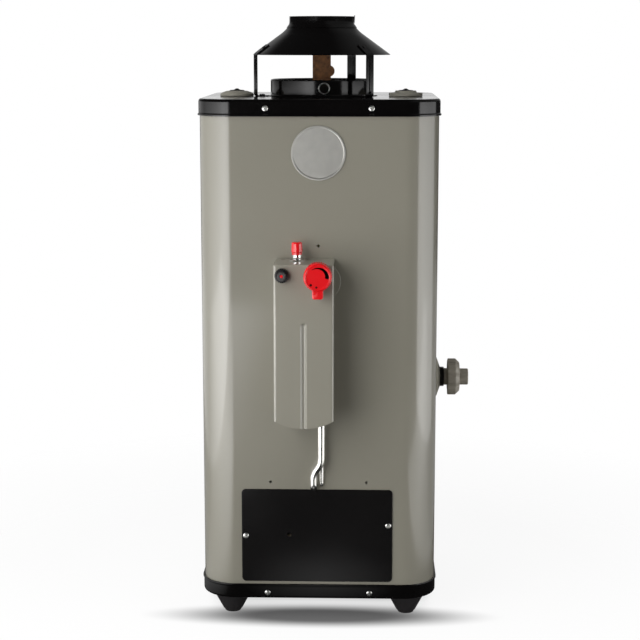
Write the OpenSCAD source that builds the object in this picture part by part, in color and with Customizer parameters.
// Floor-standing gas water heater with a square jacket, a central flue, a draft hood and a front control.
// X is to the right, -Y is the front, Z is up. The floor is z = 0 and the body's axis is x = y = 0.

/* [Body] */
// Width of the jacket
body_w = 336; // [330:1:380]
// Depth of the jacket
body_d = 336; // [330:1:380]
// Height from the underside of the base pan to the top of the top cover
body_h = 715.5; // [700:0.5:780]
// Radius of the jacket's upright corners
corner_r = 48; // [36:1:60]
// Thickness of the sheet steel
sheet_t = 1.2; // [0.8:0.1:1.6]
// Room for insulation between the jacket's outside and the tank
wall_gap = 18; // [16:0.5:22]

/* [Feet] */
// Height of a foot
foot_h = 32; // [24:1:50]
// Radius of a foot at its top
foot_top_r = 29; // [18:1:34]
// Radius of a foot at the floor
foot_bottom_r = 12; // [8:1:18]
// Distance of a foot's axis from the jacket's sides
foot_inset = 41; // [36:1:60]

/* [Base pan and top cover] */
// Height of the base pan
base_h = 22; // [18:1:26]
// Height of the top cover
cover_h = 23.5; // [20:0.5:30]
// Gap between the jacket and the pans around it
pan_gap = 0.5; // [0.3:0.1:0.8]
// How far a pan's lip stands out
lip_out = 1.3; // [0.8:0.1:2]
// Height of a pan's lip
lip_h = 2.5; // [2:0.5:4]
// Distance of the pan screws from the middle
pan_screw_x = 73.3; // [60:0.1:90]

/* [Screws] */
// Radius of a screw's head
screw_head_r = 4; // [3:0.1:4.5]
// Height of a screw's head
screw_head_h = 1.9; // [1.4:0.1:2.2]
// Radius of a screw's shank
screw_r = 1.8; // [1.4:0.1:2.2]

/* [Access door] */
// Width of the door
door_w = 216; // [200:1:224]
// Height of the door
door_h = 137; // [120:1:138]
// Middle of the door from the body's axis
door_x = -2; // [-4:0.5:4]
// Gap between the base pan and the door
door_lift = 4; // [3:0.5:6]
// Thickness of the door
door_t = 1.5; // [1:0.1:2]
// Radius of the door's corners
door_corner_r = 6; // [3:0.5:10]
// Radius of the sight hole
sight_r = 3; // [2:0.1:5]
// Thickness of the insulating board behind the door
liner_t = 10; // [6:1:12]

/* [Emblem plate and jacket holes] */
// Radius of the round plate
emblem_r = 37.8; // [30:0.1:45]
// Middle of the round plate below the top of the body
emblem_drop = 73.5; // [70:0.5:90]
// Radius of the small holes in the jacket
pin_hole_r = 1.5; // [1:0.1:2]

/* [Draft hood] */
// Outer radius of the hood's rim
hood_rim_r = 100.5; // [94:0.5:110]
// Height of the rim above the top cover
hood_gap = 59.9; // [50:0.1:80]
// Height of the hood's cone
hood_cone_h = 34.6; // [30:0.1:50]
// Radius where the cone meets the flare
hood_neck_r = 52.8; // [51:0.1:58]
// Height of the flare between cone and vent collar
hood_flare_h = 10.8; // [6:0.1:14]
// Outer radius of the vent collar
vent_r = 47.6; // [44:0.1:49]
// Height of the vent collar
vent_h = 9; // [8:0.5:20]
// Width of a hood leg
leg_w = 14; // [10:0.5:18]

/* [Flue] */
// Outer radius of the flue tube
flue_r = 46; // [40:0.5:50]
// Outer radius of the flue collar
collar_r = 75; // [68:0.5:78]
// Height of the flue collar
collar_h = 23.9; // [20:0.1:30]
// Radius of the hole in the flue collar's front
collar_hole_r = 6.5; // [4:0.1:7]
// Width of the baffle strip
baffle_w = 26.7; // [20:0.1:36]
// Thickness of the baffle strip
baffle_t = 1.5; // [1:0.1:2.5]

/* [Tank] */
// Thickness of the tank's wall
tank_t = 2.5; // [2:0.1:3.5]
// Height of the tank's rim above the base pan
tank_lift = 188.8; // [180:0.1:192]
// Rise of the tank's domed heads
dome_h = 22; // [18:0.5:26]

/* [Water ports] */
// Gap between a port's spud and the tank's wall
port_edge = 5; // [5:0.1:10]
// How far the ports lie in front of the axis
port_y = 25; // [18:0.5:30]
// Outer radius of a port's spud
spud_r = 17; // [16:0.1:18]
// Bore radius of a port's spud
port_bore_r = 12.1; // [11:0.1:13.5]
// Radius of a port cap
cap_r = 24.5; // [23:0.1:25]
// Height of a port cap's disc
cap_h = 6.5; // [5:0.1:9]

/* [Control cover] */
// Middle of the control cover from the body's axis
control_x = -18.35; // [-20:0.05:-16]
// Width of the control cover
control_w = 82.3; // [81:0.1:90]
// How far the control cover stands out from the jacket
control_reach = 66; // [64:0.5:72]
// Top of the control cover above the floor
control_top = 527.6; // [500:0.1:535]
// Height of the control cover's sides
control_h = 217.6; // [205:0.1:240]
// Depth of the bow in the control cover's lower edge
control_sag = 11; // [6:0.5:16]
// Radius of the control cover's bends
control_bend_r = 5; // [3:0.5:7]
// Width of the pressed groove
groove_w = 8.3; // [6:0.1:10]
// Depth of the pressed groove
groove_depth = 2.6; // [1.5:0.1:3]
// Height of the pressed groove
groove_h = 148; // [120:1:160]

/* [Temperature knob] */
// Knob axis to the right of the body's axis
knob_x = 1.6; // [0:0.1:3]
// Knob axis below the top of the control cover
knob_drop = 14.2; // [13:0.1:18]
// Radius of the knob
knob_r = 19.4; // [16:0.1:22]
// Depth of the knob
knob_depth = 20.5; // [16:0.5:24]
// Gap between the control cover and the knob
knob_gap = 4.5; // [3:0.5:6]
// Width of the knob's pointer
pointer_w = 15; // [10:0.5:18]
// Reach of the knob's pointer from the axis
pointer_reach = 30; // [26:0.5:34]

/* [Igniter] */
// Igniter axis from the body's axis
igniter_x = -47.6; // [-48:0.1:-47]
// Igniter axis below the top of the control cover
igniter_drop = 14.6; // [13:0.1:18]
// Radius of the bezel
bezel_r = 9.9; // [9:0.1:10.2]
// Radius of the plunger
plunger_r = 6.2; // [5:0.1:6.4]
// Travel of the plunger
plunger_travel = 5; // [3:0.5:6]

/* [Push button] */
// Button axis from the body's axis
button_x = -29; // [-30:0.1:-26]
// Button axis in front of the jacket
button_out = 21; // [18:0.5:26]
// Radius of the button's cap
button_r = 7.9; // [7.6:0.1:9]
// Height of the button's cap
button_h = 17.6; // [16:0.1:22]
// Gap between the control cover and the cap
button_lift = 8; // [8:0.1:10]
// Travel of the button
button_travel = 6; // [4:0.5:6]
// Radius of the bushing
bushing_r = 5.85; // [5:0.05:6]

/* [Gas tubes] */
// Outer diameter of the burner tube
burner_tube_d = 10; // [9:0.1:12]
// Outer diameter of the pilot tube
pilot_tube_d = 6; // [5:0.1:6.4]
// Burner tube to the right of the body's axis at the valve
tube_x = 4.5; // [3:0.1:6]
// Sideways step of the burner tube
tube_jog = 11; // [9:0.1:12]
// Axis of the burner tube in front of the jacket
tube_out = 13; // [12.6:0.1:16]

/* [Drain valve] */
// Height of the drain valve above the floor
drain_z = 326; // [290:1:360]
// Radius of the drain knob
drain_knob_r = 27.5; // [24:0.5:32]
// Depth of the drain knob
drain_knob_depth = 17.7; // [14:0.1:22]
// Radius of the hose stub
drain_stub_r = 12.3; // [11:0.1:13.4]
// Length of the hose stub past the knob
drain_stub_l = 13; // [10:0.5:20]

/* [Fits] */
// Radial clearance of a turning or sliding fit
run_gap = 0.05; // [0.02:0.01:0.1]
// Gap between pieces that stand close together
rest_gap = 0.3; // [0.2:0.05:0.5]

/* [Hidden] */
$fn = 96;

// Finishes
grey_paint = [0.53, 0.52, 0.47];
black_paint = [0.05, 0.05, 0.05];
black_plastic = [0.1, 0.1, 0.1];
bright_steel = [0.75, 0.75, 0.75];
raw_steel = [0.5, 0.5, 0.52];
aluminium = [0.8, 0.8, 0.8];
brass = [0.75, 0.6, 0.3];
rust_brown = [0.36, 0.22, 0.17];
red_plastic = [0.8, 0.05, 0.06];
drain_grey = [0.38, 0.37, 0.34];
wool_yellow = [0.85, 0.78, 0.55];
board_white = [0.8, 0.78, 0.74];
ceramic_white = [0.9, 0.9, 0.88];
cast_grey = [0.25, 0.25, 0.26];

// Length that a cut runs past a face
over = 1;

// Levels and faces of the body
base_top = foot_h + base_h;
floor_z = foot_h + sheet_t;
top_z = foot_h + body_h;
ceiling_z = top_z - sheet_t;
front_y = -body_d / 2;
right_x = body_w / 2;
pan_w = body_w + 2 * (pan_gap + sheet_t);
pan_d = body_d + 2 * (pan_gap + sheet_t);
pan_corner_r = corner_r + pan_gap + sheet_t;
pan_front_y = -pan_d / 2;
base_screw_z = foot_h + 0.4 * base_h;
top_screw_z = top_z - cover_h / 2 - rest_gap;
hole_r = screw_r + run_gap;
screw_tip = 3;

// Door and the opening behind it
door_z = base_top + door_lift;
opening_edge = 14;
opening_w = door_w - 2 * opening_edge - 2 * screw_head_r;
opening_h = door_h - 2 * opening_edge;
opening_z = door_z + opening_edge;
liner_gap = 3;
door_screw_in = 6;
door_screw_down = 0.5;
door_screw_up = 15.5;
door_screws_at = [
    [door_x - door_w / 2 + door_screw_in, door_z + door_h / 2 - door_screw_down],
    [door_x + door_w / 2 - door_screw_in, door_z + door_h / 2 + door_screw_up]
];
sight_left = 40;
sight_up = 1.5;
sight_x = door_x - sight_left;
sight_z = door_z + door_h / 2 + sight_up;
emblem_z = top_z - emblem_drop;
emblem_t = 1;
emblem_rim = 0.6;
emblem_rim_w = 3;
door_hole_x = 68.4;
door_hole_up = 10;
door_hole_z = door_z + door_h + door_hole_up;
centre_hole_up = 17.4;
centre_hole_z = control_top + centre_hole_up;

// Tank
tank_r = min(body_w, body_d) / 2 - wall_gap;
tank_z = floor_z + tank_lift;
tank_head_room = 56;
tank_top_z = ceiling_z - tank_head_room;
dome_r = (tank_r * tank_r + dome_h * dome_h) / (2 * dome_h);
flue_t = 2;
flue_drop = 5;
flue_top_z = top_z + collar_h - flue_drop;
flue_bottom_z = tank_z + dome_h / 2;
spud_top_z = top_z + sheet_t;
spud_in = 2;
spud_bottom_z = tank_top_z - spud_in;
port_bore_h = 24;
port_reach = tank_r - tank_t - spud_r - port_edge;
port_x = sqrt(port_reach * port_reach - port_y * port_y);
port_step = 2.8;
port_tail_r = port_bore_r - port_step;
dip_lip_gap = 1.2;
dip_lip_r = port_bore_r - dip_lip_gap;
dip_lip_h = 3;
dip_r = port_tail_r - rest_gap;
dip_t = 1.5;
dip_lift = 40;
dip_bottom_z = tank_z + dip_lift;
anode_at = [52, 91];
anode_r = 9;
anode_head_r = 14;
anode_head_h = 9;

// Control
cover_front_y = front_y - control_reach;
control_left = control_x - control_w / 2;
control_right = control_x + control_w / 2;
control_bottom = control_top - control_h;
control_lip_z = control_bottom - control_sag;
bow_r = (control_w * control_w / 4 + control_sag * control_sag) / (2 * control_sag);
control_tab_w = 9;
control_tab_lift = 50;
control_tab_h = 80;
control_tab_z = control_bottom + control_tab_lift;
control_tab_screw_z = control_tab_z + control_tab_h / 2;
control_hole_right = 5.35;
control_hole_left = 29.65;
control_top_hole_r = 4;
control_top_hole_out = 9;
knob_z = control_top - knob_drop;
igniter_z = control_top - igniter_drop;
valve_gap_left = 21.5;
valve_gap_right = 4.8;
valve_left = control_left + valve_gap_left;
valve_right = control_right - valve_gap_right;
shank_in = 12;
shank_drop = 32.3;
shank_x = valve_right - shank_in;
shank_z = control_top - shank_drop;
shank_r = 11;
probe_r = 7.5;
disc_r = 25.5;
disc_t = 2.5;
valve_back_gap = 4;
valve_front_gap = 8;
valve_top_gap = 4.8;
valve_lift = 20;
valve_back_y = front_y - valve_back_gap;
valve_front_y = cover_front_y + valve_front_gap;
valve_top_z = control_top - valve_top_gap;
valve_bottom_z = control_bottom + valve_lift;
gas_bore_r = 9.5;
gas_bore_h = 20;
gas_in = 16;
gas_out = 32;
gas_x = valve_left + gas_in;
gas_y = front_y - gas_out;
knob_shaft_r = 4;
knob_boss_r = 7;
knob_shaft_in = 26;
tube_y = front_y - tube_out;
button_y = front_y - button_out;
button_z = control_top + button_lift;
stem_r = 3;
stem_flange_r = 4.4;
stem_bore_r = stem_flange_r + run_gap;
stem_in = 21;
stem_bottom_z = valve_top_z - stem_in;
stem_flange_h = 2;
button_bore_l = 48;
button_bore_z = valve_top_z - button_bore_l;
bushing_in = 3.2;
bushing_top_z = button_z + bushing_in;
button_hollow_h = 11.2;
stem_press = 3;
stem_top_z = button_z + button_hollow_h + stem_press;
nut_h = 1.6;
nut_r = 9;
plunger_l = 35;
plunger_out = 13;
bezel_h = 8;
igniter_wall = 1.3;
igniter_l = 42;
igniter_end_t = 3;
igniter_body_r = plunger_r + igniter_wall;
igniter_rear_y = cover_front_y + igniter_l;
igniter_bore_end_y = igniter_rear_y - igniter_end_t;
igniter_bore_r = plunger_r + run_gap;
spring_gap = 0.2;
spring_wire_r = 0.5;

// Tubes and leads
jog_x = tube_x - tube_jog;
entry_z = door_z + door_h + burner_tube_d / 2 + rest_gap;
jog_lift = 20.5;
jog_rise = 15;
jog_z = entry_z + jog_lift;
notch_gap = 0.8;
notch_r = burner_tube_d / 2 + notch_gap;
notch_left = jog_x - notch_r;
pilot_notch_gap = 1;
notch_right = tube_x + pilot_tube_d / 2 + pilot_notch_gap;
notch_top = entry_z + notch_r;
lead_r = 1.5;
lead_in = 6;
lead_drop = 9;
lead_y = front_y + lead_in;
lead_in_z = entry_z - lead_drop;
probe_lead_in = 5;
probe_lead_up = 15;
spark_lead_drop = 27.8;
lead_hole_gap = 1;
probe_lead_x = valve_right - probe_lead_in;
probe_lead_z = valve_bottom_z + probe_lead_up;
spark_lead_z = control_top - spark_lead_drop;
lead_hole_r = lead_r + lead_hole_gap;
tube_nut_h = 14;
tube_nut_wall = 3.6;
pilot_nut_wall = 2.4;
pilot_start_in = 4.5;
pilot_start_out = 26;
pilot_start = [valve_right - pilot_start_in, front_y - pilot_start_out];

// Burner group inside the chamber
chamber_t = 1.5;
shield_gap = 2.5;
shield_r = tank_r - chamber_t - shield_gap;
shield_h = 8.8;
shield_top_z = floor_z + shield_h;
air_hole_r = 45;
stand_h = 50;
stand_z = shield_top_z + stand_h;
stand_t = 3;
stand_reach = 60;
stand_w = 20;
stand_top_z = stand_z + stand_t;
burner_r = 58;
burner_z = stand_top_z;
throat_r = 14;
throat_bore_r = 11;
throat_rise = 13;
throat_z = burner_z + throat_rise;
throat_y = -95;
orifice_y = -112;
orifice_w = 16;
orifice_h = 20;
orifice_bottom_z = throat_z - orifice_h / 2;
orifice_top_z = throat_z + orifice_h / 2;
pilot_at = [30, -70];
thermocouple_at = [42, -66];
electrode_at = [18, -66];
electrode_r = 3.5;
thermocouple_r = 2.5;
pilot_block = [14, 14, 18];

// Drain
drain_rim_l = 5.5;
drain_flare_l = 5.2;
drain_neck_r = 15;
drain_neck_l = 11.3;
drain_shank_r = 10;
drain_flare_r = 29.5;
drain_bore_r = 8;
drain_flare_x = right_x + drain_rim_l;
drain_neck_x = drain_flare_x + drain_flare_l;
drain_face_x = drain_neck_x + drain_neck_l;
drain_knob_x = drain_face_x + rest_gap;
drain_journal_r = drain_stub_r - 1;
drain_stub_x = drain_knob_x + drain_knob_depth + rest_gap;
drain_end_x = drain_stub_x + drain_stub_l;

// Draft hood
rim_z = top_z + hood_gap;
neck_z = rim_z + hood_cone_h;
vent_z = neck_z + hood_flare_h;
vent_top_z = vent_z + vent_h;
hood_t = 1;
cone_run = norm([hood_rim_r - hood_neck_r, hood_cone_h]);
cone_up = [hood_neck_r - hood_rim_r, hood_cone_h] / cone_run;
cone_out = [cone_up[1], -cone_up[0]];
leg_t = 1.5;
leg_in_r = hood_rim_r + rest_gap;
leg_out_r = leg_in_r + leg_t;
leg_tab_l = 22;
leg_foot_l = 18;
leg_rib_w = 5;
leg_rib_h = 1.5;
leg_rib_inset = 8;
leg_angles = [-159, 65, -46];
leg_screw_in = 9;
leg_screw_r = leg_in_r - leg_screw_in;
rivet_r = 1.6;
rivet_head_r = 3;
rivet_head_h = 1.2;
rivet_along = 15;
collar_flange_w = 7;
collar_hole_x = 5.5;
collar_hole_z = top_z + collar_h / 2;
collar_eyelet_t = 2;
collar_eyelet_in = 2.5;
baffle_up = 22;
baffle_lift = 60;
baffle_top_z = rim_z + baffle_up;
baffle_bottom_z = flue_bottom_z + baffle_lift;
baffle_fin_r = 8.4;
baffle_fin_in = 2.8;
baffle_fin_x = baffle_w / 2 - baffle_fin_in;
baffle_fin_up = 35.5;
baffle_fin_z = top_z + baffle_fin_up;
pin_r = 2;
pin_z = flue_top_z + pin_r;

// Shared shapes

// Rounded rectangle about the origin
module round_rect(w, d, r) {
    square([w - 2 * r, d], center = true);
    square([w, d - 2 * r], center = true);
    for (sx = [-1, 1], sy = [-1, 1])
        translate([sx * (w / 2 - r), sy * (d / 2 - r)])
            circle(r);
}

// Upright tube with a rounded rectangular section
module round_tube(w, d, r, t, h) {
    linear_extrude(h)
        difference() {
            round_rect(w, d, r);
            round_rect(w - 2 * t, d - 2 * t, r - t);
        }
}

// Upright ring between two radii
module ring(outer, inner, h) {
    difference() {
        cylinder(r = outer, h = h);
        translate([0, 0, -over])
            cylinder(r = inner, h = h + 2 * over);
    }
}

// Turns an upright shape so that its height runs to the front, from the point x, y, z
module facing_front(x, y, z) {
    translate([x, y, z])
        rotate([90, 0, 0])
            children();
}

// Turns an upright shape so that its height runs to the right
module facing_right(x, z) {
    translate([x, 0, z])
        rotate([0, 90, 0])
            children();
}

// Hole from front to back, of radius r and length l, that starts at y
module front_hole(x, y, z, r, l) {
    facing_front(x, y + l, z)
        cylinder(r = r, h = l);
}

// Hole through the front sheet of the jacket
module jacket_hole(x, z, r) {
    front_hole(x, front_y - over, z, r, sheet_t + 2 * over);
}

// Pan-head screw with a cross slot, seated at z = 0
module screw(l) {
    difference() {
        union() {
            cylinder(r1 = screw_head_r, r2 = 0.8 * screw_head_r, h = screw_head_h);
            translate([0, 0, -l])
                cylinder(r = screw_r, h = l + screw_head_h / 2);
        }
        for (turn = [0, 90])
            rotate(turn)
                translate([-0.55 * screw_head_r, -0.4, screw_head_h - 0.9])
                    cube([1.1 * screw_head_r, 0.8, screw_head_h]);
    }
}

// Holes for the screws of a pan, through all front and back sheets
module pan_screw_holes(z) {
    for (turn = [0, 180], side = [-1, 1])
        rotate(turn)
            front_hole(side * pan_screw_x, pan_front_y - over, z, hole_r, 3 * over + 2 * sheet_t + pan_gap);
}

function unit(v) = v / norm(v);

// A path with each inner corner rounded by a curve that starts at the given length before it
function rounded_path(path, cut, steps) = [
    path[0],
    for (i = [1 : len(path) - 2], k = [0 : steps])
        let (
            t = k / steps,
            corner = path[i],
            before = corner + cut * unit(path[i - 1] - corner),
            after = corner + cut * unit(path[i + 1] - corner)
        )
        (1 - t) * (1 - t) * before + 2 * t * (1 - t) * corner + t * t * after,
    path[len(path) - 1]
];

// Direction of a path at point i
function heading(path, i) = unit(path[min(i + 1, len(path) - 1)] - path[max(i - 1, 0)]);

// Round tube along a path, with rings square to it, from a reference direction that it never follows
module swept_tube(path, r, sides, reference) {
    count = len(path);
    points = [
        for (i = [0 : count - 1])
            let (
                along = heading(path, i),
                across = unit(cross(along, reference)),
                upward = cross(along, across)
            )
            for (k = [0 : sides - 1])
                path[i] + r * (cos(360 * k / sides) * across + sin(360 * k / sides) * upward)
    ];
    walls = [
        for (i = [0 : count - 2], k = [0 : sides - 1])
            let (
                next = (k + 1) % sides,
                a = i * sides + k,
                b = i * sides + next,
                c = a + sides,
                d = b + sides
            )
            each [[a, b, d], [a, d, c]]
    ];
    near_end = [for (k = [1 : sides - 2]) [0, k + 1, k]];
    last = (count - 1) * sides;
    far_end = [for (k = [1 : sides - 2]) [last, last + k, last + k + 1]];
    polyhedron(points = points, faces = [for (f = concat(walls, near_end, far_end)) [f[2], f[1], f[0]]]);
}

// Coil spring that stands on z = 0
module coil_spring(r, wire_r, h, turns) {
    steps = 8;
    rise = h - 2 * wire_r;
    path = [
        for (i = [0 : turns * steps])
            [r * cos(360 * i / steps), r * sin(360 * i / steps), wire_r + rise * i / (turns * steps)]
    ];
    swept_tube(path, wire_r, 6, [0, 0, 1]);
}

// Profile of a domed head between two radii, with its rim at height 0
module dome_profile(inner, outer) {
    intersection() {
        translate([inner, 0])
            square([outer - inner, 2 * dome_h]);
        translate([0, dome_h - dome_r])
            difference() {
                circle(dome_r, $fn = 720);
                circle(dome_r - tank_t, $fn = 720);
            }
    }
}

// Base and jacket

module base_pan() {
    color(black_paint)
        difference() {
            union() {
                translate([0, 0, foot_h])
                    round_tube(pan_w, pan_d, pan_corner_r, sheet_t, base_h);
                translate([0, 0, foot_h])
                    linear_extrude(sheet_t)
                        round_rect(pan_w, pan_d, pan_corner_r);
                translate([0, 0, base_top - lip_h])
                    round_tube(pan_w + 2 * lip_out, pan_d + 2 * lip_out, pan_corner_r + lip_out,
                        lip_out + sheet_t, lip_h);
            }
            translate([0, 0, foot_h - over])
                cylinder(r = air_hole_r, h = sheet_t + 2 * over);
            pan_screw_holes(base_screw_z);
        }
}

module foot(side, back) {
    color(black_plastic)
        translate([side * (body_w / 2 - foot_inset), back * (body_d / 2 - foot_inset), 0])
            cylinder(r1 = foot_bottom_r, r2 = foot_top_r, h = foot_h);
}

module foot_front_left() {
    foot(-1, -1);
}

module foot_front_right() {
    foot(1, -1);
}

module foot_rear_left() {
    foot(-1, 1);
}

module foot_rear_right() {
    foot(1, 1);
}

module jacket() {
    color(grey_paint)
        difference() {
            translate([0, 0, floor_z])
                round_tube(body_w, body_d, corner_r, sheet_t, ceiling_z - floor_z);
            translate([door_x - opening_w / 2, front_y - over, opening_z])
                cube([opening_w, sheet_t + 2 * over, opening_h]);
            translate([notch_left, front_y - over, opening_z])
                cube([notch_right - notch_left, sheet_t + 2 * over, entry_z - opening_z]);
            translate([notch_left + notch_r, front_y - over, opening_z])
                cube([notch_right - notch_left - 2 * notch_r, sheet_t + 2 * over, notch_top - opening_z]);
            jacket_hole(notch_left + notch_r, entry_z, notch_r);
            jacket_hole(notch_right - notch_r, entry_z, notch_r);
            jacket_hole(shank_x, shank_z, shank_r + 2);
            jacket_hole(probe_lead_x, probe_lead_z, lead_hole_r);
            jacket_hole(igniter_x, spark_lead_z, lead_hole_r);
            for (at = door_screws_at)
                jacket_hole(at[0], at[1], hole_r);
            for (x = [-door_hole_x, door_hole_x])
                jacket_hole(x, door_hole_z, pin_hole_r);
            jacket_hole(0, centre_hole_z, pin_hole_r);
            for (x = control_tab_screws())
                jacket_hole(x, control_tab_screw_z, hole_r);
            facing_right(right_x - sheet_t - over, drain_z)
                cylinder(r = drain_shank_r + 2, h = sheet_t + 2 * over);
            pan_screw_holes(base_screw_z);
            pan_screw_holes(top_screw_z);
        }
}

module top_cover() {
    color(black_paint)
        difference() {
            union() {
                translate([0, 0, top_z - cover_h])
                    round_tube(pan_w, pan_d, pan_corner_r, sheet_t, cover_h);
                translate([0, 0, ceiling_z])
                    linear_extrude(sheet_t)
                        round_rect(pan_w, pan_d, pan_corner_r);
                translate([0, 0, top_z - cover_h])
                    round_tube(pan_w + 2 * lip_out, pan_d + 2 * lip_out, pan_corner_r + lip_out,
                        lip_out + sheet_t, lip_h);
            }
            translate([0, 0, ceiling_z - over])
                cylinder(r = flue_r + 1, h = sheet_t + 2 * over);
            for (side = [-1, 1])
                translate([side * port_x, -port_y, ceiling_z - over])
                    cylinder(r = spud_r + rest_gap, h = sheet_t + 2 * over);
            for (angle = leg_angles)
                rotate(angle)
                    translate([leg_screw_r, 0, ceiling_z - over])
                        cylinder(r = hole_r, h = sheet_t + 2 * over);
            pan_screw_holes(top_screw_z);
        }
}

// Screws through the front and back of the base pan and of the top cover
module pan_screws() {
    color(bright_steel)
        for (z = [base_screw_z, top_screw_z], turn = [0, 180], side = [-1, 1])
            rotate(turn)
                facing_front(side * pan_screw_x, pan_front_y, z)
                    screw(2 * sheet_t + pan_gap + screw_tip);
}

// Access door

module access_door() {
    color(black_paint)
        difference() {
            facing_front(door_x, front_y, door_z + door_h / 2)
                linear_extrude(door_t)
                    round_rect(door_w, door_h, door_corner_r);
            for (at = door_screws_at)
                front_hole(at[0], front_y - door_t - over, at[1], hole_r, door_t + 2 * over);
            front_hole(sight_x, front_y - door_t - over, sight_z, sight_r, door_t + 2 * over);
        }
}

module door_liner() {
    color(board_white)
        difference() {
            translate([door_x - opening_w / 2 + liner_gap, front_y, opening_z + liner_gap])
                cube([opening_w - 2 * liner_gap, liner_t, opening_h - 2 * liner_gap]);
            front_hole(sight_x, front_y - over, sight_z, sight_r, liner_t + 2 * over);
        }
}

// Screws of the access door and of the control cover
module front_screws() {
    color(bright_steel) {
        for (at = door_screws_at)
            facing_front(at[0], front_y - door_t, at[1])
                screw(door_t + sheet_t + screw_tip);
        for (x = control_tab_screws())
            facing_front(x, front_y - sheet_t, control_tab_screw_z)
                screw(2 * sheet_t + screw_tip);
    }
}

module emblem_plate() {
    color(aluminium)
        facing_front(0, front_y, emblem_z)
            union() {
                cylinder(r = emblem_r, h = emblem_t);
                ring(emblem_r, emblem_r - emblem_rim_w, emblem_t + emblem_rim);
            }
}

// Combustion chamber and burner

module combustion_chamber() {
    color(raw_steel)
        difference() {
            translate([0, 0, floor_z])
                ring(tank_r, tank_r - chamber_t, tank_lift);
            translate([door_x - opening_w / 2, -tank_r - over, opening_z])
                cube([opening_w, tank_r, entry_z + notch_r - opening_z]);
        }
}

module floor_shield() {
    color(raw_steel)
        translate([0, 0, floor_z])
            difference() {
                cylinder(r = shield_r, h = shield_h);
                translate([0, 0, -over])
                    cylinder(r = shield_r - chamber_t, h = shield_h - chamber_t + over);
                translate([0, 0, -over])
                    cylinder(r = air_hole_r, h = shield_h + 2 * over);
            }
}

module burner_stand() {
    color(raw_steel)
        difference() {
            union() {
                translate([-stand_reach, -stand_w / 2, stand_z])
                    cube([2 * stand_reach, stand_w, stand_t]);
                for (side = [-1, 1])
                    translate([side * (stand_reach - stand_t / 2), 0, 0]) {
                        translate([-stand_t / 2, -stand_w / 2, shield_top_z])
                            cube([stand_t, stand_w, stand_top_z - shield_top_z]);
                        translate([(side - 1) * stand_w / 2, -stand_w / 2, shield_top_z])
                            cube([stand_w, stand_w, stand_t]);
                    }
                translate([jog_x + throat_r + 2, pilot_at[1] - 10, stand_z])
                    cube([thermocouple_at[0] + 8 - jog_x - throat_r - 2, -pilot_at[1] + 5, stand_t]);
            }
            translate([electrode_at[0], electrode_at[1], stand_z - over])
                cylinder(r = electrode_r + run_gap, h = stand_t + 2 * over);
            translate([thermocouple_at[0], thermocouple_at[1], stand_z - over])
                cylinder(r = thermocouple_r + run_gap, h = stand_t + 2 * over);
        }
}

module burner() {
    rim_h = 10;
    ports = 20;
    port_r = 2;
    bowl_h = 17;
    color(cast_grey)
        difference() {
            union() {
                translate([0, 0, burner_z])
                    cylinder(r1 = burner_r / 2, r2 = burner_r, h = bowl_h);
                translate([0, 0, burner_z + bowl_h])
                    cylinder(r = burner_r, h = rim_h);
                front_hole(jog_x, throat_y, throat_z, throat_r, -throat_y - burner_r / 2);
            }
            front_hole(jog_x, throat_y - over, throat_z, throat_bore_r, -throat_y - burner_r / 2);
            for (i = [0 : ports - 1])
                rotate(360 * i / ports)
                    translate([burner_r - 8, 0, burner_z + bowl_h + rim_h / 2])
                        cylinder(r = port_r, h = rim_h);
        }
}

module orifice_holder() {
    nozzle_r = 4;
    nozzle_l = 16;
    color(brass)
        union() {
            translate([jog_x - orifice_w / 2, orifice_y - orifice_w / 2, orifice_bottom_z])
                cube([orifice_w, orifice_w, orifice_top_z - orifice_bottom_z]);
            front_hole(jog_x, orifice_y, throat_z, nozzle_r, orifice_w / 2 + nozzle_l);
        }
}

module pilot_burner() {
    hood_r = 5;
    hood_h = 14;
    color(brass)
        translate([pilot_at[0], pilot_at[1], stand_top_z])
            union() {
                translate([-pilot_block[0] / 2, -pilot_block[1] / 2, 0])
                    cube(pilot_block);
                translate([0, 0, pilot_block[2]])
                    ring(hood_r, hood_r - 1.2, hood_h);
            }
}

module thermocouple() {
    tip_h = 34;
    below = 8;
    bottom_z = stand_z - below;
    path = [
        [probe_lead_x, valve_back_y, probe_lead_z],
        [probe_lead_x, lead_y, probe_lead_z],
        [probe_lead_x, lead_y, lead_in_z],
        [probe_lead_x, front_y + 30, lead_in_z],
        [thermocouple_at[0] + 6, -100, lead_in_z - 40],
        [thermocouple_at[0], -100, bottom_z - 10],
        [thermocouple_at[0], thermocouple_at[1], bottom_z - 12],
        [thermocouple_at[0], thermocouple_at[1], bottom_z + 2]
    ];
    color(brass) {
        translate([thermocouple_at[0], thermocouple_at[1], bottom_z])
            cylinder(r = thermocouple_r, h = below + stand_t + tip_h);
        swept_tube(rounded_path(path, 4, 4), lead_r, 8, [1, 0, 0.2]);
    }
}

module spark_electrode() {
    ceramic_h = 26;
    wire_r = 1;
    wire_h = 8;
    below = 8;
    color(ceramic_white)
        translate([electrode_at[0], electrode_at[1], stand_z - below]) {
            cylinder(r = electrode_r, h = below + stand_t + ceramic_h);
            cylinder(r = wire_r, h = below + stand_t + ceramic_h + wire_h);
        }
}

module igniter_lead() {
    low_z = stand_z - 22;
    path = [
        [igniter_x, igniter_rear_y, igniter_z],
        [igniter_x, igniter_rear_y + 12, igniter_z],
        [igniter_x, igniter_rear_y + 12, spark_lead_z],
        [igniter_x, lead_y, spark_lead_z],
        [igniter_x, lead_y, lead_in_z],
        [igniter_x, -112, lead_in_z],
        [igniter_x, -90, low_z],
        [electrode_at[0], -90, low_z],
        [electrode_at[0], electrode_at[1], low_z],
        [electrode_at[0], electrode_at[1], stand_z - 8]
    ];
    color(black_plastic)
        swept_tube(rounded_path(path, 4, 4), lead_r, 8, [1, -1, 1]);
}

// Tank and flue

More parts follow.
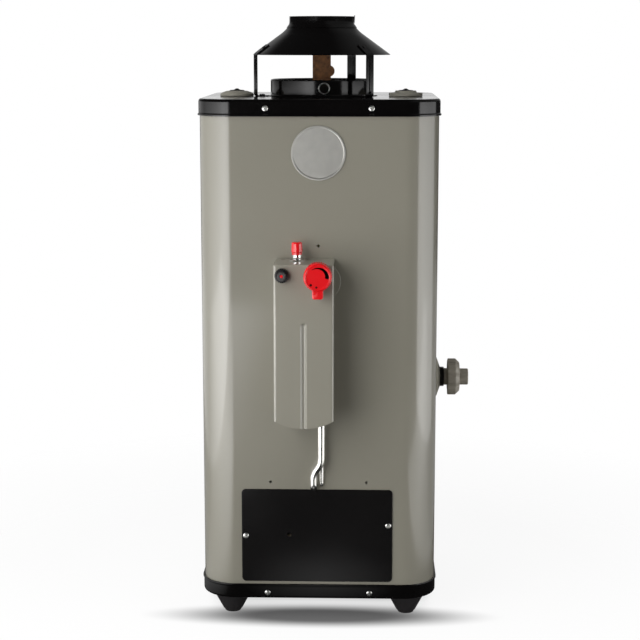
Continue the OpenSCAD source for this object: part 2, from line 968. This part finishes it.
module tank_shell() {
    color(raw_steel)
        difference() {
            translate([0, 0, tank_z])
                ring(tank_r, tank_r - tank_t, tank_top_z - tank_z);
            front_hole(shank_x, -tank_r - over, shank_z, shank_r + run_gap, tank_t + 3 * over);
            facing_right(tank_r - tank_t - 2 * over, drain_z)
                cylinder(r = drain_shank_r + run_gap, h = tank_t + 3 * over);
        }
}

module tank_bottom_head() {
    color(raw_steel)
        translate([0, 0, tank_z])
            rotate_extrude()
                dome_profile(flue_r + run_gap, tank_r - tank_t - run_gap);
}

module tank_top_head() {
    color(raw_steel)
        difference() {
            translate([0, 0, tank_top_z])
                rotate_extrude()
                    dome_profile(flue_r + run_gap, tank_r);
            for (side = [-1, 1])
                translate([side * port_x, -port_y, tank_top_z - over])
                    cylinder(r = spud_r + run_gap, h = 2 * dome_h);
            translate([anode_at[0], anode_at[1], tank_top_z - over])
                cylinder(r = anode_r + run_gap, h = 2 * dome_h);
        }
}

module flue_tube() {
    color(raw_steel)
        translate([0, 0, flue_bottom_z])
            ring(flue_r, flue_r - flue_t, flue_top_z - flue_bottom_z);
}

module flue_baffle() {
    flaps = 5;
    flap_w = 26;
    flap_l = 34;
    flap_tilt = 35;
    flap_step = (flue_top_z - 80 - baffle_bottom_z) / flaps;
    color(rust_brown)
        difference() {
            union() {
                translate([-baffle_w / 2, -baffle_t / 2, baffle_bottom_z])
                    cube([baffle_w, baffle_t, baffle_top_z - baffle_bottom_z]);
                front_hole(baffle_fin_x, -baffle_t / 2, baffle_fin_z, baffle_fin_r, baffle_t);
                for (i = [0 : flaps - 1])
                    translate([0, 0, baffle_bottom_z + 40 + i * flap_step])
                        rotate([i % 2 == 0 ? flap_tilt : -flap_tilt, 0, 0])
                            translate([-flap_w / 2, -baffle_t / 2, -flap_l / 2])
                                cube([flap_w, baffle_t, flap_l]);
            }
            front_hole(0, -baffle_t, pin_z, pin_r + run_gap, 2 * baffle_t);
        }
}

module baffle_pin() {
    color(raw_steel)
        front_hole(0, -flue_r, pin_z, pin_r, 2 * flue_r);
}

// Coupling that reaches from the tank's top head through the top cover
module spud(side, lip_recess) {
    color(raw_steel)
        translate([side * port_x, -port_y, 0])
            difference() {
                translate([0, 0, spud_bottom_z])
                    cylinder(r = spud_r, h = spud_top_z - spud_bottom_z);
                translate([0, 0, spud_bottom_z - over])
                    cylinder(r = port_tail_r, h = spud_top_z - spud_bottom_z);
                translate([0, 0, spud_top_z - port_bore_h])
                    cylinder(r = port_bore_r, h = port_bore_h + over);
                translate([0, 0, spud_top_z - port_bore_h - lip_recess])
                    cylinder(r = dip_lip_r + run_gap, h = lip_recess + over);
            }
}

module hot_spud() {
    spud(-1, 0);
}

module cold_spud() {
    spud(1, dip_lip_h);
}

module dip_tube() {
    lip_z = spud_top_z - port_bore_h - dip_lip_h;
    color(board_white)
        translate([port_x, -port_y, 0])
            difference() {
                union() {
                    translate([0, 0, dip_bottom_z])
                        cylinder(r = dip_r, h = lip_z - dip_bottom_z + over);
                    translate([0, 0, lip_z])
                        cylinder(r = dip_lip_r, h = dip_lip_h);
                }
                translate([0, 0, dip_bottom_z - over])
                    cylinder(r = dip_r - dip_t, h = lip_z + dip_lip_h - dip_bottom_z + 2 * over);
            }
}

module anode_rod() {
    rod_bottom_z = tank_z + 110;
    head_z = tank_top_z + dome_h - 5;
    color(aluminium)
        translate([anode_at[0], anode_at[1], 0])
            union() {
                translate([0, 0, rod_bottom_z])
                    cylinder(r = anode_r, h = head_z - rod_bottom_z + over);
                translate([0, 0, head_z])
                    cylinder(r = anode_head_r, h = anode_head_h, $fn = 6);
            }
}

module insulation() {
    jacket_side_gap = 1;
    hole_gap = 1;
    inside_tank = 5;
    channel_d = 11;
    end_gap = 4;
    channel_y = front_y + channel_d;
    bottom_z = tank_z + end_gap;
    height = tank_top_z - end_gap - bottom_z;
    inset = sheet_t + jacket_side_gap;
    color(wool_yellow)
        difference() {
            translate([0, 0, bottom_z])
                linear_extrude(height)
                    difference() {
                        round_rect(body_w - 2 * inset, body_d - 2 * inset, corner_r - inset);
                        circle(tank_r + rest_gap);
                    }
            translate([control_left - over, front_y, bottom_z - over])
                cube([control_w + 2 * over, channel_y - front_y, height + 2 * over]);
            front_hole(shank_x, front_y, shank_z, shank_r + hole_gap, inside_tank - tank_r - front_y);
            facing_right(tank_r - inside_tank, drain_z)
                cylinder(r = drain_shank_r + hole_gap, h = right_x - tank_r + inside_tank);
        }
}

// Top of the body

// Cap that covers a port's spud and plugs its bore
module port_cap(side) {
    rim_w = 2.5;
    nub_r = 4.5;
    nub_h = 3;
    plug_h = 12;
    seat_z = spud_top_z + rest_gap / 2;
    rim_drop = seat_z - top_z - rest_gap;
    color(grey_paint)
        translate([side * port_x, -port_y, seat_z])
            union() {
                cylinder(r = cap_r, h = cap_h / 2);
                translate([0, 0, cap_h / 2])
                    cylinder(r1 = cap_r, r2 = cap_r - cap_h / 2, h = cap_h / 2);
                translate([0, 0, cap_h])
                    cylinder(r = nub_r, h = nub_h);
                translate([0, 0, -rim_drop])
                    ring(cap_r, cap_r - rim_w, rim_drop + cap_h / 4);
                translate([0, 0, -plug_h])
                    cylinder(r = port_bore_r - run_gap, h = plug_h + cap_h / 4);
            }
}

module hot_port_cap() {
    port_cap(-1);
}

module cold_port_cap() {
    port_cap(1);
}

// Turns an upright shape to run out through the flue collar's front hole
module at_collar_hole() {
    facing_front(collar_hole_x, collar_eyelet_in - collar_r, collar_hole_z)
        children();
}

module flue_collar() {
    curl = 3;
    eyelet_l = 4;
    color(black_paint)
        difference() {
            union() {
                translate([0, 0, top_z])
                    ring(collar_r, collar_r - sheet_t, collar_h);
                translate([0, 0, top_z])
                    ring(collar_r + collar_flange_w, collar_r - sheet_t, sheet_t);
                translate([0, 0, top_z + collar_h - sheet_t])
                    ring(collar_r, collar_r - curl, sheet_t);
                at_collar_hole()
                    cylinder(r = collar_hole_r + collar_eyelet_t, h = eyelet_l);
            }
            at_collar_hole()
                translate([0, 0, -over])
                    cylinder(r = collar_hole_r, h = eyelet_l + 2 * over);
        }
}

// Profile of the hood's sheet, from rim to vent
module hood_profile() {
    flare_r = hood_neck_r - vent_r;
    inner = -hood_t * cone_out;
    polygon([
        [hood_rim_r, rim_z],
        [hood_neck_r, neck_z],
        [vent_r + flare_r * 0.3, neck_z + hood_flare_h * 0.5],
        [vent_r, vent_z],
        [vent_r, vent_top_z],
        [vent_r - hood_t, vent_top_z],
        [vent_r - hood_t, vent_z],
        [vent_r - hood_t + flare_r * 0.3, neck_z + hood_flare_h * 0.5 - hood_t * 0.4],
        [hood_neck_r + inner[0], neck_z + inner[1]],
        [hood_rim_r + inner[0], rim_z + inner[1]]
    ]);
}

// A point on the outside of the hood's cone, at a length from the rim and a height off the sheet
function on_cone(along, off) = [hood_rim_r, rim_z] + along * cone_up + off * cone_out;

// Turns an upright shape to stand square to the cone, at a length from the rim and a height off the sheet
module on_cone_at(angle, along, off) {
    at = on_cone(along, off);
    rotate(angle)
        translate([at[0], 0, at[1]])
            rotate([0, atan2(cone_out[0], cone_out[1]), 0])
                children();
}

module rivet_holes() {
    reach = hood_t + leg_t + rest_gap + over;
    for (angle = leg_angles)
        on_cone_at(angle, rivet_along, -reach)
            cylinder(r = rivet_r + run_gap, h = 2 * reach);
}

module hood_skirt() {
    color(black_paint)
        difference() {
            rotate_extrude()
                hood_profile();
            rivet_holes();
        }
}

// Length along the cone at which a line off the sheet meets a given radius
function along_at(r, off) = (r - hood_rim_r - off * cone_out[0]) / cone_up[0];

// Bent strip from the top cover to the hood's cone
module hood_leg(angle) {
    tab_in = rest_gap;
    tab_out = rest_gap + leg_t;
    color(black_paint)
        difference() {
            rotate(angle) {
                rotate([90, 0, 0])
                    translate([0, 0, -leg_w / 2])
                        linear_extrude(leg_w)
                            polygon([
                                [leg_out_r, top_z],
                                on_cone(along_at(leg_out_r, tab_out), tab_out),
                                on_cone(leg_tab_l, tab_out),
                                on_cone(leg_tab_l, tab_in),
                                on_cone(along_at(leg_in_r, tab_in), tab_in),
                                [leg_in_r, top_z + leg_t],
                                [leg_out_r - leg_foot_l, top_z + leg_t],
                                [leg_out_r - leg_foot_l, top_z]
                            ]);
                translate([leg_out_r - over, -leg_rib_w / 2, top_z + leg_rib_inset])
                    cube([leg_rib_h + over, leg_rib_w, hood_gap - 2 * leg_rib_inset]);
            }
            rivet_holes();
            rotate(angle)
                translate([leg_screw_r, 0, top_z - over])
                    cylinder(r = hole_r, h = leg_t + 2 * over);
        }
}

module hood_leg_left() {
    hood_leg(leg_angles[0]);
}

module hood_leg_rear() {
    hood_leg(leg_angles[1]);
}

module hood_leg_front() {
    hood_leg(leg_angles[2]);
}

module hood_screws() {
    color(bright_steel)
        for (angle = leg_angles)
            rotate(angle)
                translate([leg_screw_r, 0, top_z + leg_t])
                    screw(leg_t + sheet_t + screw_tip);
}

module hood_rivets() {
    stem_l = leg_t + rest_gap + hood_t + 1;
    color(black_paint)
        for (angle = leg_angles)
            on_cone_at(angle, rivet_along, leg_t + rest_gap) {
                cylinder(r1 = rivet_head_r, r2 = 0.6 * rivet_head_r, h = rivet_head_h);
                translate([0, 0, -stem_l])
                    cylinder(r = rivet_r, h = stem_l + rivet_head_h / 2);
            }
}

// Control

module valve_body() {
    valve_size = [valve_right - valve_left, valve_back_y - valve_front_y, valve_top_z - valve_bottom_z];
    boss_l = 5;
    boss_y = valve_front_y - boss_l;
    color(cast_grey)
        difference() {
            union() {
                translate([valve_left, valve_front_y, valve_bottom_z])
                    cube(valve_size);
                front_hole(knob_x, boss_y, knob_z, knob_boss_r, valve_back_y - boss_y - over);
            }
            front_hole(knob_x, boss_y - over, knob_z, knob_shaft_r + run_gap, boss_l + knob_shaft_in + over);
            translate([button_x, button_y, button_bore_z])
                cylinder(r = stem_bore_r, h = valve_top_z - button_bore_z + over);
            translate([gas_x, gas_y, valve_bottom_z - over])
                cylinder(r = gas_bore_r, h = gas_bore_h + over);
        }
}

module thermostat_probe() {
    probe_end_y = -flue_r - 14;
    shank_end_y = -tank_r + 10;
    color(brass)
        union() {
            front_hole(shank_x, valve_back_y, shank_z, shank_r, shank_end_y - valve_back_y);
            front_hole(shank_x, shank_end_y - over, shank_z, probe_r, probe_end_y - shank_end_y + over);
        }
}

module shank_escutcheon() {
    color(grey_paint)
        facing_front(shank_x, front_y, shank_z)
            difference() {
                cylinder(r1 = disc_r, r2 = disc_r - disc_t / 2, h = disc_t);
                translate([0, 0, -over])
                    cylinder(r = shank_r + rest_gap, h = disc_t + 2 * over);
            }
}

// Hex nuts where the gas tubes leave the valve
module tube_nuts() {
    color(brass) {
        translate([tube_x, tube_y, valve_bottom_z - tube_nut_h])
            difference() {
                cylinder(r = burner_tube_d / 2 + tube_nut_wall, h = tube_nut_h, $fn = 6);
                translate([0, 0, -over])
                    cylinder(r = burner_tube_d / 2 + run_gap, h = tube_nut_h + 2 * over);
            }
        translate([pilot_start[0], pilot_start[1], valve_bottom_z - tube_nut_h / 2])
            difference() {
                cylinder(r = pilot_tube_d / 2 + pilot_nut_wall, h = tube_nut_h / 2, $fn = 6);
                translate([0, 0, -over])
                    cylinder(r = pilot_tube_d / 2 + run_gap, h = tube_nut_h + 2 * over);
            }
    }
}

module burner_tube() {
    path = [
        [tube_x, tube_y, valve_bottom_z],
        [tube_x, tube_y, jog_z + jog_rise],
        [jog_x, tube_y, jog_z],
        [jog_x, tube_y, entry_z],
        [jog_x, orifice_y, entry_z],
        [jog_x, orifice_y, orifice_top_z]
    ];
    color(aluminium)
        swept_tube(rounded_path(path, 8, 6), burner_tube_d / 2, 12, [1, 0, 0]);
}

module pilot_tube() {
    behind_y = front_y - pilot_tube_d / 2 - 0.5;
    path = [
        [pilot_start[0], pilot_start[1], valve_bottom_z],
        [pilot_start[0], pilot_start[1], valve_bottom_z - 10],
        [tube_x + burner_tube_d / 2 + pilot_tube_d / 2 + 2.5, tube_y, valve_bottom_z - 18],
        [tube_x + 8, behind_y, valve_bottom_z - 25],
        [tube_x, behind_y, valve_bottom_z - 36],
        [tube_x, behind_y, entry_z + 2],
        [tube_x, front_y + 48, entry_z + 2],
        [pilot_at[0], -100, lead_in_z - 40],
        [pilot_at[0], -98, stand_top_z + 9],
        [pilot_at[0], pilot_at[1] - pilot_block[1] / 2, stand_top_z + 9]
    ];
    color(aluminium)
        swept_tube(rounded_path(path, 3, 4), pilot_tube_d / 2, 10, [1, 0.1, 0]);
}

// Places of the control cover's screws, left and right
function control_tab_screws() = [
    control_left + sheet_t + control_tab_w / 2,
    control_right - sheet_t - control_tab_w / 2
];

// Plan of the control cover's outside: a block with rounded front corners
module control_plan(inset) {
    r = control_bend_r - inset;
    w = control_w - 2 * inset;
    d = control_reach - inset;
    translate([control_x - w / 2, front_y - d + r])
        square([w, d - r]);
    translate([control_x - w / 2 + r, front_y - d])
        square([w - 2 * r, d]);
    for (side = [-1, 1])
        translate([control_x + side * (w / 2 - r), front_y - d + r])
            circle(r);
}

// Sheet of the pressed groove, in plan
module groove_plan() {
    half = groove_w / 2;
    flat = half / 4;
    back = cover_front_y + groove_depth;
    translate([control_x, 0])
        polygon([
            [-half - sheet_t, cover_front_y],
            [-half, cover_front_y],
            [-flat, back],
            [flat, back],
            [half, cover_front_y],
            [half + sheet_t, cover_front_y],
            [half + sheet_t, cover_front_y + sheet_t],
            [flat + sheet_t, back + sheet_t],
            [-flat - sheet_t, back + sheet_t],
            [-half - sheet_t, cover_front_y + sheet_t]
        ]);
}

// Front, sides and top of the control cover, before its lower edge is trimmed
module control_shell() {
    full_h = control_top - control_lip_z;
    hollow_h = full_h - sheet_t + over;
    difference() {
        translate([0, 0, control_lip_z])
            linear_extrude(full_h)
                control_plan(0);
        translate([0, over, control_lip_z - over])
            linear_extrude(hollow_h)
                control_plan(sheet_t);
        translate([control_left + sheet_t, front_y - over, control_lip_z - over])
            cube([control_w - 2 * sheet_t, 2 * over, hollow_h]);
    }
}

// Disc whose lower edge is the bow of the control cover's front
module bow_disc() {
    front_hole(control_x, cover_front_y - over, control_lip_z + bow_r, bow_r, control_reach + 2 * over);
}

module control_cover() {
    groove_top_z = control_lip_z + groove_h;
    color(grey_paint)
        difference() {
            union() {
                difference() {
                    intersection() {
                        control_shell();
                        union() {
                            translate([control_left - over, cover_front_y - over, control_bottom])
                                cube([control_w + 2 * over, control_reach + 2 * over, control_h + over]);
                            bow_disc();
                        }
                    }
                    translate([control_x - groove_w / 2, cover_front_y - over, control_lip_z - over])
                        cube([groove_w, sheet_t + 2 * over, groove_h + over]);
                }
                intersection() {
                    union() {
                        translate([0, 0, control_lip_z - over])
                            linear_extrude(groove_h + over)
                                groove_plan();
                        translate([control_x - groove_w / 2, cover_front_y, groove_top_z])
                            cube([groove_w, groove_depth + sheet_t, sheet_t]);
                    }
                    bow_disc();
                }
                for (x = control_tab_screws())
                    translate([x - control_tab_w / 2 - sheet_t / 2, front_y - sheet_t, control_tab_z])
                        cube([control_tab_w + sheet_t, sheet_t, control_tab_h]);
            }
            facing_front(shank_x, front_y, shank_z)
                cylinder(r = disc_r + rest_gap, h = disc_t + rest_gap);
            front_hole(knob_x, cover_front_y - over, knob_z, knob_shaft_r + 2, sheet_t + 2 * over);
            facing_front(igniter_x, cover_front_y + control_bend_r, igniter_z)
                cylinder(r = igniter_body_r + run_gap, h = control_bend_r + over);
            translate([button_x, button_y, control_top - sheet_t - over])
                cylinder(r = bushing_r + run_gap, h = sheet_t + 2 * over);
            for (x = [control_x + control_hole_right, control_x - control_hole_left])
                translate([x, front_y - control_top_hole_out, control_top - sheet_t - over])
                    cylinder(r = control_top_hole_r, h = sheet_t + 2 * over);
            for (x = control_tab_screws())
                front_hole(x, front_y - sheet_t - over, control_tab_screw_z, hole_r, sheet_t + 2 * over);
        }
}

module temperature_knob() {
    back_y = cover_front_y - knob_gap;
    rim = 2;
    grooves = 36;
    groove_r = 0.7;
    tip_r = 3;
    pointer_t = 11;
    pointer_z = knob_depth - rim - pointer_t;
    socket_l = 12;
    color(red_plastic)
        difference() {
            facing_front(knob_x, back_y, knob_z)
                difference() {
                    union() {
                        cylinder(r = knob_r, h = knob_depth - rim);
                        translate([0, 0, knob_depth - rim])
                            cylinder(r1 = knob_r, r2 = knob_r - rim, h = rim);
                        translate([0, -pointer_reach / 2, pointer_z])
                            linear_extrude(pointer_t)
                                round_rect(pointer_w, pointer_reach, tip_r);
                    }
                    for (i = [0 : grooves - 1])
                        rotate(360 * (i + 0.5) / grooves)
                            translate([knob_r + groove_r / 3, 0, -over])
                                cylinder(r = groove_r, h = pointer_z - groove_r + over);
                }
            front_hole(knob_x, back_y - socket_l, knob_z, knob_shaft_r + run_gap, socket_l + over);
        }
}

module knob_shaft() {
    start_y = cover_front_y - knob_gap - 11;
    color(raw_steel)
        front_hole(knob_x, start_y, knob_z, knob_shaft_r, valve_front_y + knob_shaft_in - 1 - start_y);
}

module igniter_body() {
    color(black_plastic)
        difference() {
            facing_front(igniter_x, igniter_rear_y, igniter_z)
                cylinder(r = igniter_body_r, h = igniter_rear_y - cover_front_y);
            facing_front(igniter_x, igniter_bore_end_y, igniter_z)
                cylinder(r = igniter_bore_r, h = igniter_bore_end_y - cover_front_y + over);
        }
}

module igniter_bezel() {
    ridges = 20;
    ridge_r = 0.8;
    bevel = 1.5;
    color(black_plastic)
        facing_front(igniter_x, cover_front_y, igniter_z)
            difference() {
                union() {
                    cylinder(r = bezel_r, h = bezel_h - bevel);
                    translate([0, 0, bezel_h - bevel])
                        cylinder(r1 = bezel_r, r2 = bezel_r - bevel, h = bevel);
                }
                translate([0, 0, -over])
                    cylinder(r = igniter_bore_r, h = bezel_h + 2 * over);
                for (i = [0 : ridges - 1])
                    rotate(360 * i / ridges)
                        translate([bezel_r + ridge_r / 3, 0, -over])
                            cylinder(r = ridge_r, h = bezel_h + 2 * over);
            }
}

module igniter_plunger() {
    bevel = 0.8;
    color(black_plastic)
        facing_front(igniter_x, cover_front_y - plunger_out + plunger_l, igniter_z) {
            cylinder(r = plunger_r, h = plunger_l - bevel);
            translate([0, 0, plunger_l - bevel])
                cylinder(r1 = plunger_r, r2 = plunger_r - bevel, h = bevel);
        }
}

module igniter_spring() {
    plunger_rear_y = cover_front_y - plunger_out + plunger_l;
    room = igniter_bore_end_y - plunger_rear_y;
    color(bright_steel)
        facing_front(igniter_x, igniter_bore_end_y - spring_gap, igniter_z)
            coil_spring(plunger_r - 1.4, spring_wire_r, room - 2 * spring_gap, 5);
}

// Red cap with its stem
module push_button() {
    crown_r = 4.5;
    waist_r = button_r - 0.8;
    waist_h = 4;
    color(red_plastic)
        translate([button_x, button_y, 0]) {
            rotate_extrude()
                difference() {
                    intersection() {
                        translate([0, button_z])
                            union() {
                                square([waist_r, waist_h]);
                                translate([0, waist_h])
                                    square([button_r, button_h - waist_h - crown_r]);
                                square([button_r - crown_r, button_h]);
                                translate([button_r - crown_r, button_h - crown_r])
                                    circle(crown_r);
                            }
                        translate([0, button_z])
                            square([button_r, button_h]);
                    }
                    translate([0, button_z - over])
                        square([bushing_r + rest_gap, button_hollow_h + over]);
                }
            translate([0, 0, stem_bottom_z])
                cylinder(r = stem_r, h = stem_top_z - stem_bottom_z);
            translate([0, 0, stem_bottom_z])
                cylinder(r = stem_flange_r, h = stem_flange_h);
        }
}

// Bright bushing with its hex nut on the control cover
module button_bushing() {
    color(bright_steel)
        translate([button_x, button_y, 0])
            difference() {
                union() {
                    translate([0, 0, valve_top_z])
                        cylinder(r = bushing_r, h = bushing_top_z - valve_top_z);
                    translate([0, 0, control_top])
                        cylinder(r = nut_r, h = nut_h, $fn = 6);
                }
                translate([0, 0, valve_top_z - over])
                    cylinder(r = stem_r + run_gap, h = bushing_top_z - valve_top_z + 2 * over);
            }
}

module button_spring() {
    room = stem_bottom_z - button_bore_z;
    color(bright_steel)
        translate([button_x, button_y, button_bore_z + spring_gap])
            coil_spring(stem_flange_r - 1, spring_wire_r, room - 2 * spring_gap, 6);
}

// Drain valve

module drain_valve_body() {
    inlet_r = 5;
    inside_x = tank_r - tank_t - 5;
    color(drain_grey)
        facing_right(0, drain_z)
            difference() {
                union() {
                    translate([0, 0, inside_x])
                        cylinder(r = drain_shank_r, h = drain_neck_x - inside_x + over);
                    translate([0, 0, right_x])
                        cylinder(r = drain_flare_r, h = drain_rim_l);
                    translate([0, 0, drain_flare_x])
                        cylinder(r1 = drain_flare_r, r2 = drain_neck_r, h = drain_flare_l);
                    translate([0, 0, drain_neck_x])
                        cylinder(r = drain_neck_r, h = drain_neck_l);
                    translate([0, 0, drain_face_x - over])
                        cylinder(r = drain_journal_r, h = drain_end_x - drain_face_x + over);
                    translate([0, 0, drain_stub_x])
                        cylinder(r = drain_stub_r, h = drain_stub_l);
                }
                translate([0, 0, inside_x - over])
                    cylinder(r = inlet_r, h = drain_end_x - inside_x);
                translate([0, 0, right_x])
                    cylinder(r = drain_bore_r, h = drain_end_x - right_x + over);
            }
}

// Stopper on the drain valve's seat
module drain_plug() {
    plug_l = 14;
    nose_l = 3;
    color(black_plastic)
        facing_right(right_x + rest_gap, drain_z) {
            cylinder(r1 = drain_bore_r - nose_l, r2 = drain_bore_r - run_gap, h = nose_l);
            translate([0, 0, nose_l])
                cylinder(r = drain_bore_r - run_gap, h = plug_l - nose_l);
        }
}

module drain_knob() {
    bevel = 6;
    lobes = 8;
    lobe_r = 5;
    color(drain_grey)
        facing_right(drain_knob_x, drain_z)
            difference() {
                union() {
                    cylinder(r = drain_knob_r, h = drain_knob_depth - bevel);
                    translate([0, 0, drain_knob_depth - bevel])
                        cylinder(r1 = drain_knob_r, r2 = drain_knob_r - bevel, h = bevel);
                }
                translate([0, 0, -over])
                    cylinder(r = drain_journal_r + run_gap, h = drain_knob_depth + 2 * over);
                for (i = [0 : lobes - 1])
                    rotate(360 * (i + 0.5) / lobes)
                        translate([drain_knob_r + 0.6 * lobe_r, 0, -over])
                            cylinder(r = lobe_r, h = drain_knob_depth + 2 * over);
            }
}

base_pan();
foot_front_left();
foot_front_right();
foot_rear_left();
foot_rear_right();
jacket();
top_cover();
pan_screws();
access_door();
door_liner();
front_screws();
emblem_plate();
combustion_chamber();
floor_shield();
burner_stand();
burner();
orifice_holder();
pilot_burner();
thermocouple();
spark_electrode();
igniter_lead();
tank_shell();
tank_bottom_head();
tank_top_head();
flue_tube();
flue_baffle();
baffle_pin();
hot_spud();
cold_spud();
dip_tube();
anode_rod();
insulation();
hot_port_cap();
cold_port_cap();
flue_collar();
hood_skirt();
hood_leg_left();
hood_leg_rear();
hood_leg_front();
hood_screws();
hood_rivets();
valve_body();
thermostat_probe();
shank_escutcheon();
tube_nuts();
burner_tube();
pilot_tube();
control_cover();
temperature_knob();
knob_shaft();
igniter_body();
igniter_bezel();
igniter_plunger();
igniter_spring();
push_button();
button_bushing();
button_spring();
drain_valve_body();
drain_plug();
drain_knob();
